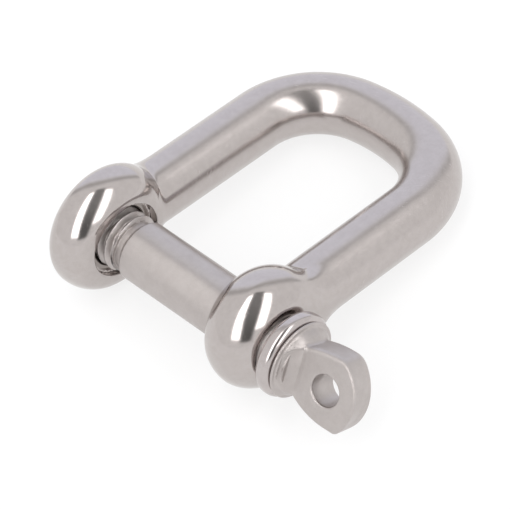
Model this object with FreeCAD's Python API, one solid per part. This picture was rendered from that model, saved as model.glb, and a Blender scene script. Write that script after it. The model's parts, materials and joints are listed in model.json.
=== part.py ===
import FreeCAD, Part
import math
import os

os.makedirs("parts", exist_ok=True)

V = FreeCAD.Vector

# A screw-pin D shackle, in millimetres.
# Origin: on the pin's axis, midway between the two ears.
# +X runs along the pin towards its eyed head, +Y along the line of load from
# the pin to the crown, +Z square to the plane that the bow is bent in.

# ---- driving dimensions: the forged body ----
bar_d = 8.0                      # forged bar, the shackle's nominal size
jaw = 18.3                       # clear width between the ears
reach = 37.4                     # pin axis to the centre line of the crown
crown_rise = 10.7                # height of the crown's arch above the straight legs
haunch_r = 10.45                 # centre-line radius of the bend at each side of the crown
spot_r = 6.2                     # cutter for the spot face on the outside of each ear
near_hole_d = 8.1                # plain hole that the pin slides through
sink_r = 5.1                     # counterbore at the mouth of the tapped hole
sink_depth = 1.3

# ---- driving dimensions: the two ears, which the forging left unlike each other ----
# Depths run outward from the ear's flat inner face.
near_ear_r = 7.95                # largest radius of the ear at +X
near_belly = 4.27                # depth of its largest radius
near_dome = 9.08                 # depth of the top of its dome, before the spot face is cut
near_curve = (1.66, 3.16)        # exponents of the dome's superellipse, along X and outward
near_flat_r = 5.6                # radius of its flat inner face
near_shift = (0, 1.15, -0.45)    # how far its middle lies off the pin's axis
near_spot = 8.35                 # depth of the spot face that the collar closes on
far_ear_r = 8.44                 # the same for the tapped ear at -X, which is true to the axis
far_belly = 4.0
far_dome = 7.97
far_curve = (2.2, 2.08)
far_flat_r = 5.8
far_spot = 7.5

# ---- driving dimensions: the screw pin ----
pin_d = 7.9                      # plain shank of the pin, and the crests of its thread
pitch = 1.25                     # M8 coarse thread
thread_depth = 0.73              # radial depth of the thread on the pin
shoulder_gap = 2.7               # the full shank stops this far short of the tapped ear
shoulder_chamfer = 0.6           # length of the cone from the shoulder to the relief
end_chamfer = 0.8
flange_r = 5.15                  # thin flange that the collar bears against
flange_t = 0.4
head_r = 4.6                     # round boss behind the eyed tab
tab_lean = 22.0                  # the tab's width leans this far from +Z towards +Y, degrees
tab_t = 4.4                      # thickness of the flat tab at the boss
tab_taper = 0.055                # each flat comes in by this much for each mm along X
tab_neck = 3.1                   # half width of the tab at the boss
tab_top = 4.45                   # pin axis to the tab's upper edge, where it is widest
tab_bottom = 5.1                 # pin axis to its lower edge
tab_end_r = 6.2                  # the tab's rounded end
tab_end_skew = 0.85              # the end's centre lies this far below the pin's axis
tab_end_draft = 4.0              # the end leans this far from square to the flats, degrees
eye_d = 4.0                      # cross hole through the tab
eye_skew = 0.4                   # the hole's centre lies this far below the pin's axis

# ---- driving dimensions: the collar ----
collar_gap = 0.8                 # open gap between the ear and the collar
collar_t = 2.2
collar_r = 5.6
rim_round = 0.9                  # rounding of the collar's rim

# ---- clearances ----
slide_gap = 0.1                  # radial gap between the shank and what it turns in
groove_gap = 0.12                # fine groove between the collar and the head
flank_gap = 0.15                 # axial gap on each flank of the thread
root_gap = 0.16                  # radial gap over the crests of the pin's thread
crest_gap = 0.21                 # radial gap under the crests of the tapped thread
overrun = 0.6                    # how far a cutter stands past the surface it cuts
sunk = 0.08                      # how far a thread's root is sunk into the metal below it

# ---- worked-out positions along X and radii ----
bar_r = bar_d / 2
leg_x = jaw / 2 + bar_r
leg_top = reach - crown_rise
inner_x = jaw / 2
near_x = inner_x + near_spot     # spot faces
far_x = -inner_x - far_spot
pin_r = pin_d / 2
core_r = pin_r - thread_depth
nut_tip_r = core_r + crest_gap
nut_root_r = pin_r + root_gap
shoulder_x = -inner_x + shoulder_gap
thread_end_x = -inner_x + 1.3    # the thread runs out in the relief behind the shoulder
pin_end_x = far_x + 0.1
nut_x0 = far_x + 0.95            # the tapped thread stays clear of both mouths of its hole
nut_x1 = -inner_x - 1.85
collar_x = near_x + collar_gap
head_x = collar_x + collar_t + groove_gap
boss_x = head_x + flange_t       # where the boss starts to dome down to the tab
neck_x = head_x + 1.88           # where the flats of the tab start
eye_x = head_x + 6.1
tab_end_cx = head_x + 4.18       # centre of the tab's rounded end
tab_wide_x = head_x + 7.7        # where the tab is widest

# ---- thread form ----
flank_slope = math.tan(math.radians(30))
tooth_crest = pitch / 8


def rod(x0, x1, r):
    """A cylinder on the pin's axis, from x0 to x1."""
    return Part.makeCylinder(r, x1 - x0, V(x0, 0, 0), V(1, 0, 0))


def cone(x0, x1, r0, r1):
    """A cone on the pin's axis, with radius r0 at x0 and r1 at x1."""
    return Part.makeCone(r0, r1, x1 - x0, V(x0, 0, 0), V(1, 0, 0))


def line(x0, y0, x1, y1):
    return Part.LineSegment(V(x0, y0, 0), V(x1, y1, 0)).toShape()


def arc_through(a, b, c):
    return Part.Arc(V(*a, 0), V(*b, 0), V(*c, 0)).toShape()


def arc_about(cx, cy, r, start, end):
    """Arc of radius r about (cx, cy) from start to end, in degrees."""
    def at(angle):
        turn = math.radians(angle)
        return (cx + r * math.cos(turn), cy + r * math.sin(turn))
    return arc_through(at(start), at((start + end) / 2), at(end))


def outline(edges):
    return Part.Wire(Part.__sortEdges__(edges))


def turned(edges):
    """One full turn about the pin's axis of a closed outline drawn in the XY plane."""
    solid = Part.Face(outline(edges)).revolve(V(0, 0, 0), V(1, 0, 0), 360)
    if solid.Volume < 0:
        solid.reverse()
    return solid


def helical_ridge(base_r, tip_r, tip_w, x0, x1, phase):
    """One thread: a trapezium swept along a right-hand helix about +X, from x0 to x1.

    base_r is the radius of its wide foot, and tip_r and tip_w give its crest. phase
    shifts the helix along X, in pitches.
    """
    half_tip = tip_w / 2
    half_base = half_tip + abs(base_r - tip_r) * flank_slope
    corners = [V(base_r, 0, -half_base), V(tip_r, 0, -half_tip),
               V(tip_r, 0, half_tip), V(base_r, 0, half_base)]
    section = Part.makePolygon(corners + corners[:1])
    helix = Part.makeHelix(pitch, x1 - x0, (base_r + tip_r) / 2)
    ridge = Part.Wire(helix.Edges).makePipeShell([section], True, True)
    ridge.rotate(V(0, 0, 0), V(0, 1, 0), 90)
    ridge.rotate(V(0, 0, 0), V(1, 0, 0), 360 * (x0 / pitch - phase))
    ridge.translate(V(x0, 0, 0))
    return ridge


def bar():
    """The bent round bar: two straight legs and a crown of three tangent arcs."""
    crown_r = (leg_x ** 2 + crown_rise ** 2 - 2 * leg_x * haunch_r) / (2 * (crown_rise - haunch_r))
    crown_cy = reach - crown_r
    haunch_cx = leg_x - haunch_r
    split = math.degrees(math.atan2(leg_top - crown_cy, haunch_cx))
    path = Part.Wire([
        line(leg_x, 0, leg_x, leg_top),
        arc_about(haunch_cx, leg_top, haunch_r, 0, split),
        arc_about(0, crown_cy, crown_r, split, 180 - split),
        arc_about(-haunch_cx, leg_top, haunch_r, 180 - split, 180),
        line(-leg_x, leg_top, -leg_x, 0),
    ])
    section = Part.Wire(Part.makeCircle(bar_r, V(leg_x, 0, 0), V(0, 1, 0)))
    return path.makePipeShell([section], True, False)


def ear(radius, belly, dome_top, curve, flat_r):
    """A bulbous eye at +X: flat inside, barrel-shaped round the rim, domed outside.

    The dome is a superellipse, drawn as a smooth curve through points on it.
    """
    rim_rise = radius - flat_r
    rim_r = (belly ** 2 + rim_rise ** 2) / (2 * rim_rise)
    rim_half = math.degrees(math.asin(belly / rim_r))
    belly_x = inner_x + belly
    top_x = inner_x + dome_top
    points = [V(top_x, 0, 0)]
    for step in range(1, 12):
        turn = math.radians(90 * step / 12)
        points.append(V(belly_x + (dome_top - belly) * math.cos(turn) ** (2 / curve[0]),
                        radius * math.sin(turn) ** (2 / curve[1]), 0))
    points.append(V(belly_x, radius, 0))
    dome = Part.BSplineCurve()
    dome.interpolate(Points=points, InitialTangent=V(0, 1, 0), FinalTangent=V(-1, 0, 0))
    return turned([
        line(top_x, 0, inner_x, 0),
        line(inner_x, 0, inner_x, flat_r),
        arc_about(belly_x, radius - rim_r, rim_r, 90 + rim_half, 90),
        dome.toShape(),
    ])


def shackle_body():
    """Bar and ears in one forging, with a plain hole at +X and a tapped hole at -X."""
    near_ear = ear(near_ear_r, near_belly, near_dome, near_curve, near_flat_r)
    near_ear.translate(V(*near_shift))
    far_ear = ear(far_ear_r, far_belly, far_dome, far_curve, far_flat_r)
    far_ear = far_ear.mirror(V(0, 0, 0), V(1, 0, 0))
    blank = bar().fuse([near_ear, far_ear]).removeSplitter()
    end_x = inner_x + near_dome + overrun
    mouth_r = nut_root_r + 0.2
    blank = blank.cut([
        rod(inner_x - overrun, end_x, near_hole_d / 2),
        rod(near_x, end_x, spot_r),
        rod(-end_x, far_x, spot_r),
        rod(-end_x, -inner_x + overrun, nut_root_r),
        rod(-inner_x - sink_depth, -inner_x + overrun, sink_r),
        cone(far_x, far_x + mouth_r - nut_root_r, mouth_r, nut_root_r),
    ])
    groove_w = tooth_crest + 2 * flank_gap - 2 * root_gap * flank_slope
    tip_w = pitch - groove_w - 2 * (nut_root_r - nut_tip_r) * flank_slope
    thread = helical_ridge(nut_root_r + sunk, nut_tip_r, tip_w, nut_x0, nut_x1, 0.5)
    return blank.fuse(thread).Solids[0]


def collar():
    """The ring behind the head, with a rounded rim."""
    x0, x1 = collar_x, collar_x + collar_t
    bore = pin_r + slide_gap
    return turned([
        line(x0, bore, x0, collar_r - rim_round),
        arc_about(x0 + rim_round, collar_r - rim_round, rim_round, 180, 90),
        line(x0 + rim_round, collar_r, x1 - rim_round, collar_r),
        arc_about(x1 - rim_round, collar_r - rim_round, rim_round, 90, 0),
        line(x1, collar_r - rim_round, x1, bore),
        line(x1, bore, x0, bore),
    ])


def boss():
    """Flange and round boss at the root of the tab, domed down to the tab's width."""
    edge = 0.18
    tip_x = neck_x + 0.6
    return turned([
        line(head_x, 0, head_x, flange_r - edge),
        arc_about(head_x + edge, flange_r - edge, edge, 180, 90),
        line(head_x + edge, flange_r, boss_x, flange_r - 0.1),
        line(boss_x, flange_r - 0.1, boss_x, head_r),
        arc_through((boss_x, head_r), (boss_x + 1.15, head_r - 0.6), (tip_x, tab_neck - 0.1)),
        line(tip_x, tab_neck - 0.1, tip_x, 0),
        line(tip_x, 0, head_x, 0),
    ])


def tab():
    """The flat, fan-shaped tab, drawn with its width along Y and its thickness along Z."""
    x0 = head_x + 0.8
    x1 = tab_end_cx + tab_end_r + 2
    start_x = neck_x - 0.6
    edges = [line(x0, -tab_neck, x0, tab_neck), line(x1, tab_top, x1, -tab_bottom)]
    for sign, half in ((1, tab_top), (-1, tab_bottom)):
        edges += [
            line(x0, sign * tab_neck, start_x, sign * tab_neck),
            arc_through((start_x, sign * tab_neck), (tab_wide_x - 3.2, sign * half * 0.93),
                        (tab_wide_x, sign * half)),
            line(tab_wide_x, sign * half, x1, sign * half),
        ]
    plate = Part.Face(outline(edges)).extrude(V(0, 0, tab_t))
    plate.translate(V(0, 0, -tab_t / 2))
    lean = V(math.tan(math.radians(tab_end_draft)), 0, 1)
    foot = V(tab_end_cx, -tab_end_skew, 0) - lean * 2 * tab_t
    rounding = Part.makeCylinder(tab_end_r, tab_t * 4, foot, lean)
    keep = Part.makeBox(tab_end_cx - x0, tab_t * 4, tab_t * 2, V(x0, -tab_t * 2, -tab_t))
    return plate.common(rounding.fuse(keep)).removeSplitter()


def scoop():
    """Cuts one flat of the tab, with a hollow that climbs the side of the boss."""
    low = tab_t / 2
    high = head_r + overrun
    far = tab_end_cx + tab_end_r + overrun
    far_low = low - (far - neck_x) * tab_taper
    lip_x = boss_x + 0.15
    profile = outline([
        arc_through((lip_x, head_r - 0.3), (lip_x + 0.5, low + 1.1), (neck_x, low)),
        line(neck_x, low, far, far_low),
        line(far, far_low, far, high),
        line(far, high, lip_x, high),
        line(lip_x, high, lip_x, head_r - 0.3),
    ])
    profile.rotate(V(0, 0, 0), V(1, 0, 0), 90)
    profile.translate(V(0, head_r * 2, 0))
    return Part.Face(profile).extrude(V(0, -head_r * 4, 0))


def head():
    """Boss and tab, with the flats scooped out and the eye drilled through."""
    blank = boss().fuse(tab())
    cutter = scoop()
    other = cutter.mirror(V(0, 0, 0), V(0, 0, 1))
    eye = Part.makeCylinder(eye_d / 2, head_r * 4, V(eye_x, -eye_skew, -head_r * 2))
    shape = blank.cut([cutter, other, eye]).removeSplitter()
    shape.rotate(V(0, 0, 0), V(1, 0, 0), 90 - tab_lean)
    return shape


def screw_pin():
    """Shank, relief and thread on one axis, with the head on the +X end."""
    relief_x = shoulder_x - shoulder_chamfer
    tip_x = pin_end_x + end_chamfer + overrun
    thread = helical_ridge(core_r - sunk, pin_r, tooth_crest, pin_end_x - pitch, thread_end_x, 0)
    blade = rod(pin_end_x - 2 * pitch, tip_x, pin_d).cut(
        cone(pin_end_x, tip_x, pin_r - end_chamfer, pin_r + overrun))
    screw = rod(pin_end_x, relief_x, core_r).fuse(thread).cut(blade)
    shank = rod(shoulder_x, head_x + overrun, pin_r).fuse(
        cone(relief_x, shoulder_x, core_r, pin_r))
    return screw.fuse([shank, head()]).removeSplitter().Solids[0]


def export(name, shape):
    shape.exportStep("parts/" + name + ".step")
    print(name, "solids", len(shape.Solids), "valid", shape.isValid(),
          "volume", round(shape.Volume, 1))


export("shackle_body", shackle_body())
export("pin_collar", collar())
export("screw_pin", screw_pin())
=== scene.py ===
import itertools
import json
import math

import bpy
import numpy as np
from mathutils import Matrix, Vector


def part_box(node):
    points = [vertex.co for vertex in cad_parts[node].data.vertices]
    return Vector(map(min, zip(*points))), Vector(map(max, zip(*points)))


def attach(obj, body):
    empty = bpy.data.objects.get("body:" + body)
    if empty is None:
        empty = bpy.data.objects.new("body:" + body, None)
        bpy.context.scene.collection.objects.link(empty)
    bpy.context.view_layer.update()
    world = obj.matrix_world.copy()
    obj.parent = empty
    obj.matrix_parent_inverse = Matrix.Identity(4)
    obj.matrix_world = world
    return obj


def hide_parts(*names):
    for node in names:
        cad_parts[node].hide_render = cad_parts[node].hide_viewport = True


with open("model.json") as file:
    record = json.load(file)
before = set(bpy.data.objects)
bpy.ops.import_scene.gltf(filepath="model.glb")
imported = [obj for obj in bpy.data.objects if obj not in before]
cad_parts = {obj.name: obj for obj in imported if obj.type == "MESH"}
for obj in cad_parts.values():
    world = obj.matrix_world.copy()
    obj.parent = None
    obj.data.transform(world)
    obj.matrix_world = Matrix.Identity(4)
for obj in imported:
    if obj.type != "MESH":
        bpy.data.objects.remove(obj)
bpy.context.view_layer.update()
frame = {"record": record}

# A screw-pin D shackle in polished stainless steel.
# The shapes are written as fields, in millimetres: negative inside the metal, positive
# outside. Each field is meshed once, and the mesh is scaled to metres.
# +X runs along the pin to its head, +Y from the pin to the crown, +Z square to the bow.
# Where the CAD and this script both need a size that the frame doesn't give, it has the
# same name and value in both.
MM = 0.001


# ---- sizes, from the frame ----
def corners(node):
    """Lowest and highest corner of a CAD node, in millimetres."""
    return [np.round(np.array(corner) / MM, 2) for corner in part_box(node)]


def mount(name):
    return next(m for m in frame["record"]["mounts"] if m["name"] == name)


body_low, body_high = corners("shackle_body")
pin_low, pin_high = corners("screw_pin")
ring_low, ring_high = corners("pin_collar")
crown_seat_y = mount("crown_seat")["pos_m"][1] / MM

bar_d = round(body_high[1] - crown_seat_y, 1)   # forged bar, the nominal size
bar_r = bar_d / 2
inner_x = -body_low[0] - bar_d               # inner face of each ear
leg_x = inner_x + bar_r
reach = crown_seat_y + bar_r                 # pin axis to the crown's centre line
collar_r = ring_high[1]

# ---- shape of the forged body ----
crown_rise = 10.7
haunch_r = 10.45
leg_top = reach - crown_rise
crown_r = (leg_x ** 2 + crown_rise ** 2 - 2 * leg_x * haunch_r) / (2 * (crown_rise - haunch_r))
crown_cy = reach - crown_r
haunch_cx = leg_x - haunch_r


class Ear:
    """A bulbous eye: flat inside, a round rim, and a superellipse for its outer side."""

    def __init__(self, radius, belly, dome_top, curve, flat_r, shift):
        self.radius = radius
        self.belly = belly                   # inner face to the largest radius
        self.dome_top = dome_top             # inner face to the top of the dome
        self.curve = curve                   # exponents of the superellipse, outward and across
        self.shift = shift                   # y and z of its middle, off the pin's axis
        rise = radius - flat_r               # flat_r is the radius of the flat inner face
        self.rim_r = (belly ** 2 + rise ** 2) / (2 * rise)


near_ear = Ear(radius=7.95, belly=4.27, dome_top=9.08, curve=(1.66, 3.16), flat_r=5.6,
               shift=(1.15, -0.45))
far_ear = Ear(radius=8.44, belly=4.0, dome_top=7.97, curve=(2.2, 2.08), flat_r=5.8, shift=(0, 0))
spot_r = 6.2                                 # cutter for the spot face outside each ear
near_x = body_high[0]                        # the face that the collar closes on
near_spot = near_x - inner_x
far_spot = 7.5
near_hole_r = 4.05
sink_r = 5.1                                 # counterbore of the tapped hole
sink_depth = 1.3

# ---- shape of the screw pin ----
pin_r = 3.95
pitch = 1.25
thread_depth = 0.73
core_r = pin_r - thread_depth
flank_slope = math.tan(math.radians(30))
tooth_crest = pitch / 8
end_chamfer = 0.8
pin_end_x = pin_low[0]
thread_end_x = -inner_x + 1.3
shoulder_x = -inner_x + 2.7
shoulder_chamfer = 0.6                       # length of the cone from the shoulder to the relief
relief_x = shoulder_x - shoulder_chamfer
groove_gap = 0.12                            # fine groove between the collar and the head
head_x = ring_high[0] + groove_gap
flange_r = 5.15                              # thin flange that the collar bears against
flange_t = 0.4
head_r = 4.6                                 # round boss behind the tab
boss_x = head_x + flange_t
neck_x = head_x + 1.88                       # where the flats of the tab start
eye_x = mount("tab_eye")["pos_m"][0] / MM
eye_skew = 0.4                               # the eye's centre lies this far below the axis
eye_r = 2.0
tab_lean = math.radians(22)                  # the tab's width leans from +Z towards +Y
tab_t = 4.4
tab_taper = 0.055                            # fall of each flat for each mm along X
tab_neck = 3.1                               # half width of the tab at the boss
tab_top = 4.45                               # pin axis to each long edge, where it is widest
tab_bottom = 5.1
tab_end_r = 6.2
tab_end_skew = 0.85                          # the end's centre lies this far below the axis
tab_end_draft = math.radians(4)              # the end leans from square to the flats
tab_end_cx = head_x + 4.18
tab_wide_x = head_x + 7.7

# ---- clearances and the tapped thread ----
slide_gap = 0.1                              # collar's bore over the shank
flank_gap = 0.15
root_gap = 0.16
crest_gap = 0.21
nut_tip_r = core_r + crest_gap
nut_root_r = pin_r + root_gap
nut_x0 = -inner_x - far_spot + 0.95
nut_x1 = -inner_x - 1.85

# ---- rounding of the edges ----
spot_edge = 0.25                             # rim of each spot face and of the counterbore
rim_edge = 0.4                               # where the near leg meets the spot face's plane
near_mouth_edge = 0.3
tapped_mouth_edge = 0.15
flange_edge = 0.3
boss_fillet = 0.4
scoop_edge = 0.15
eye_edge = 0.3
rim_round = 0.95                             # rim of the collar


# ---- fields ----
def smooth_max(a, b, width):
    """The larger of two fields, rounded off where they are within width of each other."""
    mix = np.clip(0.5 + 0.5 * (a - b) / width, 0, 1)
    return b + (a - b) * mix + width * mix * (1 - mix)


def smooth_min(a, b, width):
    return -smooth_max(-a, -b, width)


def ramp(value, start, end):
    """Rises smoothly from 0 at start to 1 at end."""
    t = np.clip((value - start) / (end - start), 0, 1)
    return t * t * (3 - 2 * t)


def circle_through(a, b, c):
    """Centre and radius of the circle through three points."""
    left = 2 * np.array([[b[0] - a[0], b[1] - a[1]], [c[0] - a[0], c[1] - a[1]]])
    right = np.array([np.dot(b, b) - np.dot(a, a), np.dot(c, c) - np.dot(a, a)])
    centre = np.linalg.solve(left, right)
    return centre, math.dist(centre, a)


def bar_field(x, y, z):
    """The bent round bar: two legs, two haunches and the crown."""
    side = np.abs(x)
    haunch = np.hypot(side - haunch_cx, y - leg_top) - haunch_r
    crown = np.hypot(x, y - crown_cy) - crown_r
    past_haunch = side * (leg_top - crown_cy) < (y - crown_cy) * haunch_cx
    across = np.where(y < leg_top, side - leg_x, np.where(past_haunch, crown, haunch))
    return np.sqrt(across ** 2 + z ** 2 + np.minimum(y, 0) ** 2) - bar_r


def ear_field(depth, y, z, ear):
    """One ear. depth runs outward from its flat inner face.

    The edge of the inner face is crisp towards the crown and above, and round below.
    """
    rho = np.hypot(y, z)
    rim = np.hypot(depth - ear.belly, rho - ear.radius + ear.rim_r) - ear.rim_r
    length = ear.dome_top - ear.belly
    outward, across = ear.curve
    out = np.maximum(depth - ear.belly, 0) / length
    ring = rho / ear.radius
    size = out ** outward + ring ** across
    slope = np.hypot(outward * out ** (outward - 1) / length,
                     across * ring ** (across - 1) / ear.radius)
    dome = (size - 1) / np.maximum(slope, 0.02)
    above = (0.8 * y + 0.6 * z) / np.maximum(rho, 1e-6)
    edge = 0.25 + 1.3 * ramp(-above, -0.2, 1.0)
    return smooth_max(np.where(depth < ear.belly, rim, dome), -depth, edge)


def thread_radius(x, y, z, tip_r, root_r, tip_w, phase):
    """Surface radius of a right-hand thread about +X with its crests at tip_r."""
    turn = np.arctan2(y, -z) / (2 * np.pi)
    along = np.mod(x / pitch - turn - phase + 0.5, 1) - 0.5
    fall = np.maximum(np.abs(along) * pitch - tip_w / 2, 0) / flank_slope
    if tip_r > root_r:
        return np.maximum(tip_r - fall, root_r)
    return np.minimum(tip_r + fall, root_r)


def tapped_hole(x, y, z):
    """Radius of the hole through the far ear, which is threaded between its two mouths."""
    groove_w = tooth_crest + 2 * flank_gap - 2 * root_gap * flank_slope
    tip_w = pitch - groove_w - 2 * (nut_root_r - nut_tip_r) * flank_slope
    thread = thread_radius(x, y, z, nut_tip_r, nut_root_r, tip_w, 0.5)
    return np.where((x > nut_x0) & (x < nut_x1), thread, nut_root_r)


def body_field(x, y, z):
    """Bar and ears, blended as the forging blends them, with the spot faces and holes cut."""
    depth = np.abs(x) - inner_x
    rho = np.hypot(y, z)
    ears = [ear_field(depth, y - ear.shift[0], z - ear.shift[1], ear)
            for ear in (near_ear, far_ear)]
    blend = 0.5 + 2.2 * ramp(depth, 2.5, 6.5)
    metal = smooth_min(bar_field(x, y, z), np.where(x > 0, *ears), blend)
    spot = np.maximum(np.where(x > 0, near_spot, far_spot) - depth, rho - spot_r)
    metal = smooth_max(metal, -spot, spot_edge)
    metal = np.where(x > 0, smooth_max(metal, depth - near_spot, rim_edge), metal)
    near = smooth_max(metal, near_hole_r - rho, near_mouth_edge)
    far = smooth_max(metal, tapped_hole(x, y, z) - rho, tapped_mouth_edge)
    far = smooth_max(far, np.minimum(sink_r - rho, sink_depth - depth), spot_edge)
    return np.where(x > 0, near, far)


def shank_field(x, y, z, rho):
    """Thread, relief, shoulder and plain shank."""
    thread = thread_radius(x, y, z, pin_r, core_r, tooth_crest, 0)
    radius = np.where(x < thread_end_x, thread, core_r)
    cone = core_r + (x - relief_x) * (pin_r - core_r) / (shoulder_x - relief_x)
    radius = np.where(x > relief_x, np.minimum(cone, pin_r), radius)
    tip = pin_r - end_chamfer + (x - pin_end_x)
    radius = np.minimum(radius, tip)
    return np.maximum((rho - radius) * 0.8, np.maximum(pin_end_x - x, x - head_x - 1))


def boss_field(x, rho):
    """Flange and round boss at the root of the tab, domed down to the tab's width."""
    tip_x = neck_x + 0.6
    centre, r = circle_through((boss_x, head_r), (boss_x + 1.15, head_r - 0.6),
                               (tip_x, tab_neck - 0.1))
    dome = np.where(x > boss_x, np.hypot(x - centre[0], rho - centre[1]) - r, rho - head_r)
    boss = np.maximum(np.maximum(np.maximum(rho - head_r, dome), head_x - x), x - tip_x)
    flange = smooth_max(rho - flange_r, head_x - x, flange_edge)
    flange = smooth_max(flange, x - boss_x, flange_edge)
    return smooth_min(boss, flange, flange_edge)


def tab_edge(x, half):
    """Half width of the tab along its length, where it is half at its widest."""
    start_x = neck_x - 0.6
    middle = (tab_wide_x - 3.2, half * 0.93)
    centre, r = circle_through((start_x, tab_neck), middle, (tab_wide_x, half))
    curve = centre[1] + np.sqrt(np.maximum(r ** 2 - (x - centre[0]) ** 2, 0))
    return np.where(x < start_x, tab_neck, np.where(x < tab_wide_x, curve, half))


def flat_height(x):
    """Height of the tab's flats above its middle, which falls towards the end."""
    return tab_t / 2 - tab_taper * np.maximum(x - neck_x, 0)


def tab_field(x, width, thick):
    """The flat, fan-shaped tab with its rounded long edges and its crisp end."""
    face = np.abs(thick) - flat_height(x)
    upper = smooth_max((width - tab_edge(x, tab_top)) * 0.93, face, 0.8)
    lower = smooth_max((-width - tab_edge(x, tab_bottom)) * 0.93, face, 0.6)
    end_x = (x - tab_end_cx - thick * math.tan(tab_end_draft)) * math.cos(tab_end_draft)
    end = np.where(end_x > 0, np.hypot(end_x, width + tab_end_skew) - tab_end_r, -1)
    plate = smooth_max(np.maximum(upper, lower), end, 0.35)
    return np.maximum(plate, head_x + 0.8 - x)


def head_field(x, y, z, rho):
    """Boss and tab, with the scoops and the eye."""
    width = y * math.sin(tab_lean) + z * math.cos(tab_lean)
    thick = -y * math.cos(tab_lean) + z * math.sin(tab_lean)
    raw = smooth_min(boss_field(x, rho), tab_field(x, width, thick), boss_fillet)
    side = np.abs(thick)
    low = tab_t / 2
    lip_x = boss_x + 0.15
    centre, r = circle_through((lip_x, head_r - 0.3), (lip_x + 0.5, low + 1.1), (neck_x, low))
    hollow = r - np.hypot(x - centre[0], side - centre[1])
    scoop = np.where(x < neck_x, hollow, side - flat_height(x))
    scoop = np.where(x < lip_x, -1, scoop)
    cut = smooth_max(raw, scoop, scoop_edge)
    eye = eye_r - np.hypot(x - eye_x, width + eye_skew)
    return smooth_max(cut, eye, eye_edge)


def pin_field(x, y, z):
    """The whole screw pin, from its threaded end to its tab."""
    rho = np.hypot(y, z)
    return np.minimum(shank_field(x, y, z, rho), head_field(x, y, z, rho))


def collar_field(x, y, z):
    """The ring behind the head, with a rounded rim."""
    rho = np.hypot(y, z)
    middle = (ring_low[0] + ring_high[0]) / 2
    half = (ring_high[0] - ring_low[0]) / 2
    across = np.maximum(np.abs(x - middle) - half + rim_round, 0)
    out = np.maximum(rho - collar_r + rim_round, 0)
    ring = np.hypot(across, out) - rim_round
    ring = np.maximum(ring, np.maximum(np.abs(x - middle) - half, rho - collar_r))
    return smooth_max(ring, pin_r + slide_gap - rho, tapped_mouth_edge)


# ---- meshing ----
def gradient(field, points, reach_mm):
    """Unit gradients of a field at the points, by central differences."""
    slopes = []
    for axis in range(3):
        ahead = points.copy()
        behind = points.copy()
        ahead[:, axis] += reach_mm
        behind[:, axis] -= reach_mm
        slopes.append(field(*ahead.T) - field(*behind.T))
    slopes = np.stack(slopes, 1)
    return slopes / np.maximum(np.linalg.norm(slopes, axis=1, keepdims=True), 1e-9)


def crossed_cells(inside):
    """Numbers the cells that the surface passes through. The others get -1."""
    shape = [n - 1 for n in inside.shape]
    filled = np.zeros(shape, int)
    for i, j, k in itertools.product((0, 1), repeat=3):
        filled += inside[i:i + shape[0], j:j + shape[1], k:k + shape[2]]
    crossed = (filled > 0) & (filled < 8)
    cell_id = np.full(shape, -1)
    cell_id[crossed] = np.arange(crossed.sum())
    return cell_id


def crossed_edges(field, values, cell_id, origin, step, axis):
    """The grid's edges along one axis that the surface cuts.

    Returns the points where it cuts them, its normals there, the four cells round each
    edge, and the quads that join those cells.
    """
    inside = values < 0
    first = [slice(None)] * 3
    second = [slice(None)] * 3
    first[axis] = slice(0, -1)
    second[axis] = slice(1, None)
    start = np.argwhere(inside[tuple(first)] != inside[tuple(second)])
    u = (axis + 1) % 3
    v = (axis + 2) % 3
    margin = (start[:, u] > 0) & (start[:, v] > 0)
    margin &= (start[:, u] < cell_id.shape[u]) & (start[:, v] < cell_id.shape[v])
    start = start[margin]
    end = start.copy()
    end[:, axis] += 1
    here = values[tuple(start.T)]
    there = values[tuple(end.T)]
    point = origin + start * step
    point[:, axis] += step * here / (here - there)
    normal = gradient(field, point, step * 0.1)
    around = []
    for du, dv in ((-1, -1), (0, -1), (0, 0), (-1, 0)):
        cell = start.copy()
        cell[:, u] += du
        cell[:, v] += dv
        around.append(cell_id[tuple(cell.T)])
    loop = np.stack(around, 1)
    quads = np.where((here < 0)[:, None], loop, loop[:, ::-1])
    return point, normal, around, quads


def surface_of(field, low, high, step):
    """Dual contouring: one vertex per crossed cell, set where the crossings' planes meet.

    Returns the vertices, their normals and the quads.
    """
    axes = [np.arange(a - 1.63 * step, b + 2.5 * step, step) for a, b in zip(low, high)]
    values = field(*np.meshgrid(*axes, indexing="ij"))
    origin = np.array([line[0] for line in axes])
    cell_id = crossed_cells(values < 0)
    edges = [crossed_edges(field, values, cell_id, origin, step, axis) for axis in range(3)]
    total = cell_id.max() + 1
    mean = np.zeros((total, 3))
    hits = np.zeros(total)
    for point, _, around, _ in edges:
        for cell in around:
            np.add.at(mean, cell, point)
            np.add.at(hits, cell, 1)
    mean /= hits[:, None]
    plane = np.zeros((total, 3, 3))
    offset = np.zeros((total, 3))
    for point, normal, around, _ in edges:
        for cell in around:
            np.add.at(plane, cell, normal[:, :, None] * normal[:, None, :])
            gap = np.einsum("ij,ij->i", normal, point - mean[cell])
            np.add.at(offset, cell, normal * gap[:, None])
    plane += 0.08 * np.eye(3)                # keeps a vertex near the middle of its crossings
    move = np.linalg.solve(plane, offset[:, :, None])[:, :, 0]
    vertices = mean + np.clip(move, -step, step)
    quads = np.concatenate([edge[3] for edge in edges])
    return vertices, gradient(field, vertices, step * 0.2), quads


def metal_piece(name, field, low, high, step):
    """A mesh object in metres, with its normals read from the field."""
    vertices, normals, quads = surface_of(field, low, high, step)
    mesh = bpy.data.meshes.new(name)
    mesh.from_pydata((vertices * MM).tolist(), [], quads.tolist())
    mesh.polygons.foreach_set("use_smooth", np.ones(len(quads), bool))
    mesh.update()
    mesh.normals_split_custom_set_from_vertices(normals.tolist())
    piece = bpy.data.objects.new(name, mesh)
    bpy.context.scene.collection.objects.link(piece)
    return piece


# ---- materials ----
in_millimetres = (1000, 1000, 1000)          # scale from object coordinates in metres
# painted shade: dark brown mixed into the bow's colour in the shaded gap beside the collar and in
# the counterbore
painted_shade_colour = (0.10, 0.075, 0.055, 1)


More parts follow.
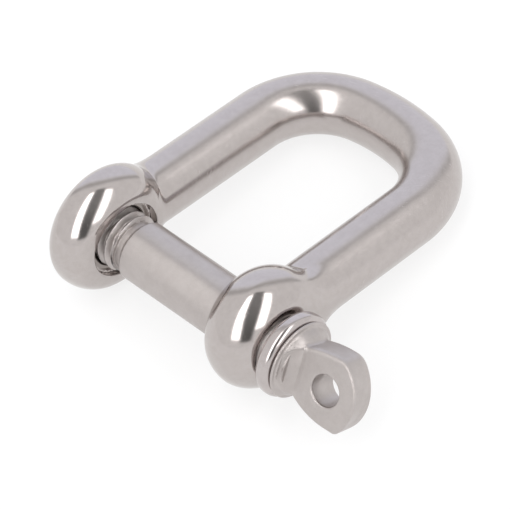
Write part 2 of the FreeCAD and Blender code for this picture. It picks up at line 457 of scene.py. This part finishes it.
class Nodes:
    """Builds a node tree; the arguments of each method are values or other sockets."""

    def __init__(self, tree):
        self.tree = tree

    def add(self, kind, **settings):
        node = self.tree.nodes.new(kind)
        for key, value in settings.items():
            setattr(node, key, value)
        return node

    def feed(self, socket, value):
        if isinstance(value, bpy.types.NodeSocket):
            self.tree.links.new(value, socket)
        else:
            socket.default_value = value

    def math(self, operation, *values):
        node = self.add("ShaderNodeMath", operation=operation)
        for socket, value in zip(node.inputs, values):
            self.feed(socket, value)
        return node.outputs[0]

    def noise(self, place, scale, detail=3.0, roughness=0.55):
        """Noise from 0 to 1. place is in millimetres and scale in features per millimetre."""
        node = self.add("ShaderNodeTexNoise")
        self.feed(node.inputs["Vector"], place)
        self.feed(node.inputs["Scale"], scale)
        self.feed(node.inputs["Detail"], detail)
        self.feed(node.inputs["Roughness"], roughness)
        return node.outputs[0]

    def stretched(self, place, scale, turn=(0, 0, 0)):
        """The place, turned by angles in degrees and then scaled along each axis."""
        spin = self.add("ShaderNodeMapping")
        self.feed(spin.inputs["Vector"], place)
        spin.inputs["Rotation"].default_value = [math.radians(a) for a in turn]
        size = self.add("ShaderNodeMapping")
        self.feed(size.inputs["Vector"], spin.outputs[0])
        size.inputs["Scale"].default_value = scale
        return size.outputs[0]

    def between(self, value, start, end, low, high):
        """The value, carried from start..end to low..high with both ends held."""
        node = self.add("ShaderNodeMapRange", interpolation_type="SMOOTHSTEP")
        for socket, number in zip(node.inputs, (value, start, end, low, high)):
            self.feed(socket, number)
        return node.outputs[0]

    def mix(self, share, first, second):
        node = self.add("ShaderNodeMix", data_type="RGBA")
        self.feed(node.inputs[0], share)
        self.feed(node.inputs[6], first)
        self.feed(node.inputs[7], second)
        return node.outputs[2]


def steel(name, tones, polish, grain, lines, blotch, turned_by=0.0, roughening_and_painted_shade=None):
    """Stainless steel.

    tones are a light and a dark colour; polish is the roughness of its smoothest and of
    its dullest patches; grain, lines and blotch are the depths, in micrometres, of the fine
    grain, of the polishing lines that run round the X axis, and of the slow waviness.
    turned_by stretches its gloss along the X axis, as turning does, and the last argument makes a
    field of added roughness and a field of painted shade, which darkens the colour, from the place
    in millimetres.
    """
    material = bpy.data.materials.new(name)
    material.use_nodes = True
    tree = material.node_tree
    shader = tree.nodes["Principled BSDF"]
    n = Nodes(tree)
    place = n.stretched(n.add("ShaderNodeTexCoord").outputs["Object"], in_millimetres)

    # marks from 0 to 1, from the slowest to the finest, then two sets of scratches and pits
    patches = n.noise(place, 0.16, 3)
    clouds = n.noise(place, 0.9, 4, 0.65)
    fine = n.noise(place, 7.0, 4, 0.7)
    rings = n.noise(n.stretched(place, (9, 0.35, 0.35)), 1.0, 4, 0.7)
    scuffs = n.noise(n.stretched(place, (6, 0.3, 0.7), (20, 35, 40)), 1.0, 3, 0.6)
    cross = n.noise(n.stretched(place, (0.4, 7, 0.5), (-30, 15, -25)), 1.0, 3, 0.6)
    specks = n.add("ShaderNodeTexVoronoi")
    n.feed(specks.inputs["Vector"], n.stretched(place, (0.55, 0.55, 0.55)))
    specks.inputs["Randomness"].default_value = 1.0
    pits = n.between(specks.outputs["Distance"], 0.03, 0.09, 1.0, 0.0)
    chosen = n.between(patches, 0.5, 0.56, 0.0, 1.0)
    pits = n.math("MULTIPLY", pits, chosen)
    scratch = n.math("MAXIMUM", n.between(scuffs, 0.66, 0.72, 0.0, 1.0),
                     n.between(cross, 0.67, 0.73, 0.0, 1.0))

    # colour
    mottle = n.math("ADD", n.math("MULTIPLY", clouds, 0.55), n.math("MULTIPLY", fine, 0.45))
    tone = n.between(mottle, 0.36, 0.64, 0.0, 1.0)
    colour = n.mix(tone, (*tones[1], 1), (*tones[0], 1))
    colour = n.mix(n.math("MULTIPLY", pits, 0.55), colour, (0.16, 0.14, 0.13, 1))
    shader.inputs["Metallic"].default_value = 1.0

    # gloss
    wear = n.math("ADD", n.math("MULTIPLY", patches, 0.6), n.math("MULTIPLY", fine, 0.4))
    dull = n.between(wear, 0.38, 0.62, 0.0, 1.0)
    rough = n.between(dull, 0.0, 1.0, polish[0], polish[1])
    rough = n.math("ADD", rough, n.math("MULTIPLY", scratch, 0.06))
    if roughening_and_painted_shade:
        added, painted_shade = roughening_and_painted_shade(n, place)
        rough = n.math("ADD", rough, added)
        # painted shade: the second field darkens the colour, standing in for shade in the gap and
        # the counterbore
        colour = n.mix(painted_shade, colour, painted_shade_colour)
    n.feed(shader.inputs["Base Color"], colour)
    n.feed(shader.inputs["Roughness"], rough)
    if turned_by:
        shader.inputs["Anisotropic"].default_value = turned_by
        shader.inputs["Anisotropic Rotation"].default_value = 0.25
        around = n.add("ShaderNodeTangent", direction_type="RADIAL", axis="X")
        n.feed(shader.inputs["Tangent"], around.outputs[0])

    # relief, in micrometres
    height = n.math("MULTIPLY", fine, grain)
    height = n.math("ADD", height, n.math("MULTIPLY", rings, lines))
    height = n.math("ADD", height, n.math("MULTIPLY", clouds, blotch))
    height = n.math("SUBTRACT", height, n.math("MULTIPLY", scratch, 0.8))
    height = n.math("SUBTRACT", height, n.math("MULTIPLY", pits, 40.0))
    bump = n.add("ShaderNodeBump")
    bump.inputs["Strength"].default_value = 1.0
    bump.inputs["Distance"].default_value = MM / 1000
    n.feed(bump.inputs["Height"], height)
    n.feed(shader.inputs["Normal"], bump.outputs[0])
    return material


def bow_roughness_and_painted_shade(n, place):
    """Roughness that the bar has over the ears, and painted shade on the forging.

    The painted shade darkens the spot face beside the collar, where the gap is shaded, and the
    counterbore round the mouth of the tapped hole.
    """
    part = n.add("ShaderNodeSeparateXYZ")
    n.feed(part.inputs[0], place)
    x, y, z = part.outputs
    away = n.between(y, 6.0, 11.0, 0.0, 0.11)
    rho = n.math("SQRT", n.math("ADD", n.math("MULTIPLY", y, y), n.math("MULTIPLY", z, z)))
    # painted shade on the spot face, in the shaded gap beside the collar
    seat = n.math("MULTIPLY", n.between(x, near_x - 0.12, near_x - 0.03, 0.0, 1.0),
                  n.between(rho, collar_r - 0.7, collar_r - 0.2, 1.0, 0.0))
    # painted shade in the counterbore round the tapped hole's mouth
    sink = n.math("MULTIPLY", n.between(x, -inner_x - 0.3, -inner_x - 0.05, 1.0, 0.0),
                  n.between(rho, sink_r - 0.5, sink_r - 0.1, 1.0, 0.0))
    painted_shade = n.math("ADD", n.math("MULTIPLY", seat, 0.75), n.math("MULTIPLY", sink, 0.5))
    return away, n.math("MINIMUM", painted_shade, 0.85)


forged = steel("forged_polished_steel", ((0.51, 0.47, 0.455), (0.475, 0.435, 0.42)),
               (0.09, 0.14), 1.5, 0.0, 3.0, roughening_and_painted_shade=bow_roughness_and_painted_shade)
turned = steel("turned_brushed_steel", ((0.52, 0.48, 0.465), (0.475, 0.435, 0.42)),
               (0.34, 0.40), 2.0, 2.0, 3.0, turned_by=0.8)
collar_steel = steel("satin_collar_steel", ((0.52, 0.475, 0.465), (0.475, 0.435, 0.425)),
                     (0.13, 0.18), 1.5, 2.0, 3.0)

# ---- the pieces ----
coarse = 1.0
body = metal_piece("forged_bow", body_field, body_low, body_high, 0.2 * coarse)
pin = metal_piece("eyed_screw_pin", pin_field, pin_low, pin_high, 0.13 * coarse)
ring = metal_piece("rounded_collar", collar_field, ring_low, ring_high, 0.1 * coarse)
for piece, node, carrier, material, slot in (
        (body, "shackle_body", "bow", forged, "forged_steel"),
        (pin, "screw_pin", "pin", turned, "pin_steel"),
        (ring, "pin_collar", "collar", collar_steel, "pin_steel")):
    piece.data.materials.append(material)
    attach(piece, carrier)
    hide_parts(node)

# ---- camera ----
image_px = 510
sensor_mm = 36
azimuth = math.radians(46.25)
elevation = math.radians(43.33)
roll = math.radians(-2.24)
distance = 0.4137
px_per_metre = 8078                          # at the aim
aim = Vector((2.4, 16.0, 0.0)) * MM
aim_right = -30.10                           # the image's centre from the aim, in image pixels
aim_up = -35.68
back = Vector((math.sin(azimuth) * math.cos(elevation),
               -math.cos(azimuth) * math.cos(elevation), math.sin(elevation)))
level = Vector((math.cos(azimuth), math.sin(azimuth), 0))
rise = back.cross(level)
right = level * math.cos(roll) + rise * math.sin(roll)
up = rise * math.cos(roll) - level * math.sin(roll)
camera = bpy.data.objects.new("camera", bpy.data.cameras.new("camera"))
bpy.context.scene.collection.objects.link(camera)
camera.data.lens = px_per_metre * distance / image_px * sensor_mm
place = aim + back * distance
target = aim + (right * aim_right + up * aim_up) / px_per_metre
view_back = (place - target).normalized()
view_right = up.cross(view_back).normalized()
view_up = view_back.cross(view_right)
turn = Matrix((view_right, view_up, view_back)).transposed().to_4x4()
camera.matrix_world = Matrix.Translation(place) @ turn
camera.data.clip_start = 0.01
camera.data.clip_end = 20
bpy.context.scene.camera = camera


# ---- floor ----
def white_acrylic():
    """Matt white sheet that glows a little, as a lit backdrop does."""
    paper = bpy.data.materials.new("white_acrylic")
    paper.use_nodes = True
    sheet = Nodes(paper.node_tree)
    skin = paper.node_tree.nodes["Principled BSDF"]
    where = sheet.stretched(sheet.add("ShaderNodeTexCoord").outputs["Object"], in_millimetres)
    haze = sheet.noise(where, 0.02, 3)
    sheet.feed(skin.inputs["Base Color"],
               sheet.mix(haze, (0.24, 0.24, 0.24, 1), (0.27, 0.27, 0.27, 1)))
    skin.inputs["Roughness"].default_value = 0.9
    skin.inputs["Specular IOR Level"].default_value = 0.0
    skin.inputs["Emission Color"].default_value = (1, 1, 1, 1)
    skin.inputs["Emission Strength"].default_value = 0.74
    return paper


def tilted_floor():
    """The floor under the shackle, which lies on both ears and on the foot of its crown."""
    front = Vector((0, 0, -far_ear.radius))
    rear = Vector((0, reach, -bar_r - 0.2))
    gap_below = 0.15
    half = 6.0                               # metres
    mesh = bpy.data.meshes.new("floor")
    mesh.from_pydata([(-half, -half, 0), (half, -half, 0), (half, half, 0), (-half, half, 0)],
                     [], [(0, 1, 2, 3)])
    mesh.materials.append(white_acrylic())
    floor = bpy.data.objects.new("floor", mesh)
    bpy.context.scene.collection.objects.link(floor)
    floor.location = (front - Vector((0, 0, gap_below))) * MM
    floor.rotation_euler = (math.atan2(rear.z - front.z, rear.y - front.y), 0, 0)
    return floor


tilted_floor()

# ---- light: a white tent with two tall softboxes and a dark gap between them ----
# The panels are upright rectangles on a plane square to the line from the shackle to the
# place it is photographed from. Their positions on it are tangents of angles off that line.
world = bpy.data.worlds.new("tent")
bpy.context.scene.world = world
world.use_nodes = True
w = Nodes(world.node_tree)                   # the world's nodes
direction = w.add("ShaderNodeTexCoord").outputs["Generated"]


def along(axis):
    """Cosine of the angle between the direction and an axis."""
    node = w.add("ShaderNodeVectorMath", operation="DOT_PRODUCT")
    w.feed(node.inputs[0], direction)
    node.inputs[1].default_value = axis
    return node.outputs["Value"]


ahead = along(back)
divisor = w.math("MAXIMUM", ahead, 0.05)
upward = w.math("DIVIDE", along(up), divisor)
sideways = w.math("DIVIDE", along(right), divisor)
# the panels lean a little to the left at their feet
across = w.math("ADD", w.math("SUBTRACT", sideways, w.math("MULTIPLY", upward, 0.13)), 0.08)


def window(value, start, end, soft):
    """1 between start and end, falling to 0 over soft on each side."""
    rising = w.between(value, w.math("SUBTRACT", start, soft), w.math("ADD", start, soft), 0.0, 1.0)
    falling = w.between(value, end - soft, end + soft, 1.0, 0.0)
    return w.math("MULTIPLY", rising, falling)


def panel(left, right_end, bottom, top, soft):
    """1 inside an upright panel. soft is the width of its left and right edges' falloff."""
    inside = w.math("MULTIPLY", window(across, left, right_end, soft),
                    window(upward, bottom, top, 0.05))
    return w.math("MULTIPLY", inside, w.between(ahead, 0.1, 0.3, 0.0, 1.0))


left_edge = w.math("ADD", -0.55, w.math("MULTIPLY", w.math("MAXIMUM", upward, -0.7), 0.13))
left_box = panel(left_edge, -0.15, bottom=-0.72, top=1.1, soft=0.04)
right_box = panel(0.46, 0.92, bottom=-0.4, top=1.14, soft=0.06)
gap = w.math("MULTIPLY", panel(-0.13, 0.44, bottom=-0.85, top=1.3, soft=0.12),
             w.between(upward, -0.7, 0.6, 0.85, 0.68))
# a dark seam overhead, where the tent's front meets its roof. overhead is the upward part of
# the slope of a mirror that shows each direction, and 2.0001 keeps it finite behind.
spread = w.math("ADD", 2.0001, w.math("MULTIPLY", ahead, 2.0))
overhead = w.math("DIVIDE", along(up), w.math("SQRT", spread))
seam = window(overhead, 0.53, 0.61, 0.04)
roof = w.between(overhead, 0.58, 0.68, 0.0, 1.0)
bright = w.math("ADD", 1.0, w.math("MULTIPLY", left_box, 3.0))
bright = w.math("ADD", bright, w.math("MULTIPLY", right_box, 2.4))
bright = w.math("SUBTRACT", bright, gap)
bright = w.math("SUBTRACT", bright, w.math("MULTIPLY", seam, 0.36))
bright = w.math("ADD", bright, w.math("MULTIPLY", roof, 0.08))
backdrop = w.tree.nodes["Background"]
w.feed(backdrop.inputs["Color"], w.mix(roof, (1, 1, 1, 1), (0.96, 0.99, 1.09, 1)))
w.feed(backdrop.inputs["Strength"], bright)
bpy.context.scene.view_settings.view_transform = "Standard"
